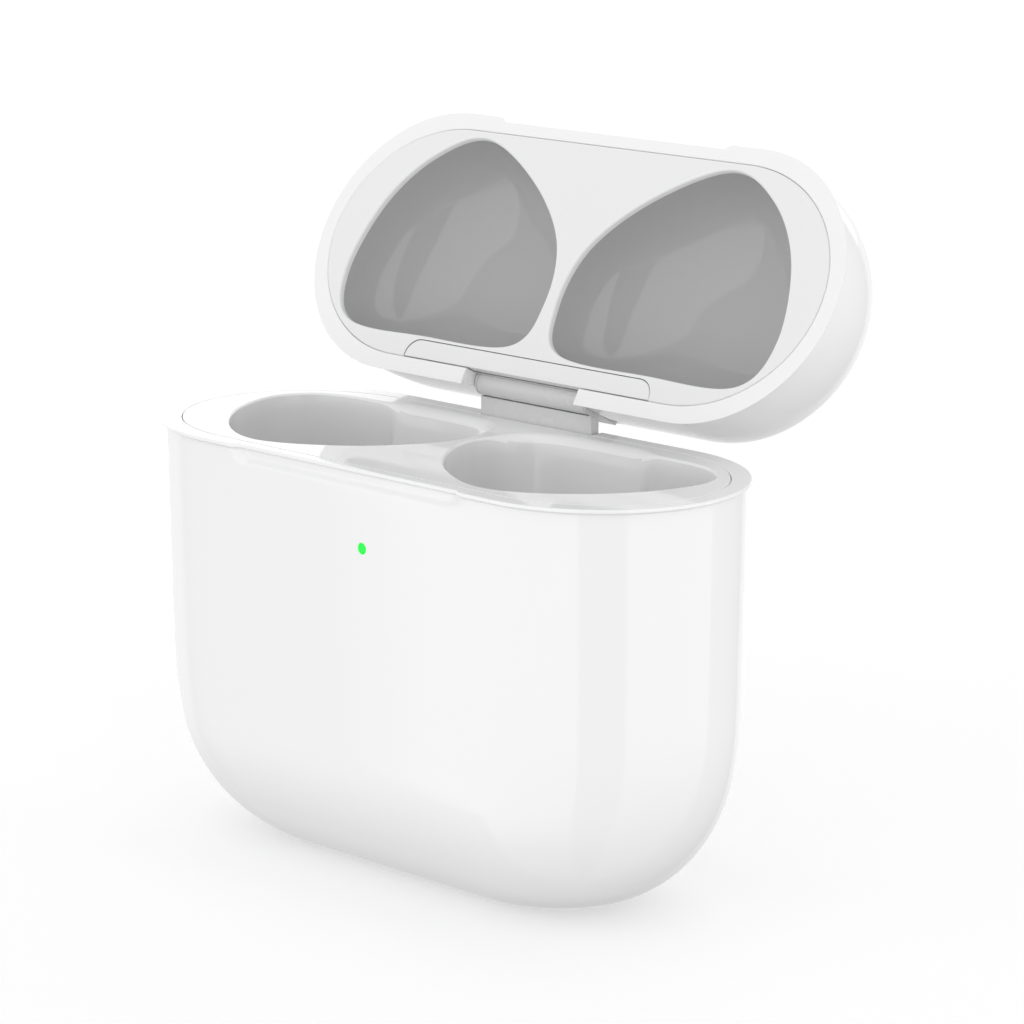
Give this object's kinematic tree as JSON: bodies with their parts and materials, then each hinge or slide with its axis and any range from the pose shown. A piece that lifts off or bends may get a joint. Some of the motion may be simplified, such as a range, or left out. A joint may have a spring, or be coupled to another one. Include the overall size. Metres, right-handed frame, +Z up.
{
  "type": "wireless earbuds charging case",
  "caption": "Palm-size charging case for wireless earbuds: a glossy rounded body with fitted pockets, a status light and a rear-hinged lid standing open",
  "frame": {"origin": "on the surface the case stands on, under the middle of the outline of the open case", "axes": "+Z up, +X to the right of someone facing the front, -Y the front with the status light, +Y the hinge side"},
  "size_m": [0.05, 0.0358, 0.0512],
  "materials": {
    "gloss_white": "polished white polycarbonate",
    "insert_white": "smooth white moulded plastic",
    "contact_gold": "gold plated",
    "cell_silver": "foil pouch",
    "board_green": "solder mask",
    "chip_black": "moulded epoxy",
    "flex_amber": "polyimide film",
    "led_green": "lit lens",
    "steel": "satin",
    "magnet": "nickel plated"
  },
  "bodies": {
    "body": {"body_shell": "gloss_white", "body_insert": "insert_white", "charge_pin_left_front": "contact_gold", "charge_pin_left_rear": "contact_gold", "charge_pin_right_front": "contact_gold", "charge_pin_right_rear": "contact_gold", "battery_left": "cell_silver", "battery_right": "cell_silver", "main_board": "board_green", "charge_chip": "chip_black", "control_chip": "chip_black", "led_board": "board_green", "flex_cable": "flex_amber", "lid_sensor": "chip_black", "light_guide": "led_green", "status_led": "led_green", "port_trim": "steel", "port_can": "steel", "port_tongue": "chip_black", "body_magnet": "magnet", "bud_magnet_left": "magnet", "bud_magnet_right": "magnet", "hinge_bracket": "steel", "hinge_pin": "steel"},
    "lid": {"lid_shell": "gloss_white", "lid_insert": "insert_white", "lid_magnet": "magnet", "hinge_cover": "insert_white", "hinge_leaf": "steel"}
  },
  "joints": [
    {"name": "lid_hinge", "type": "hinge", "parent": "body", "child": "lid", "pos_m": [0, 0.00202, 0.0331], "axis": [1, 0, 0], "range_deg": [0, 120]}
  ]
}
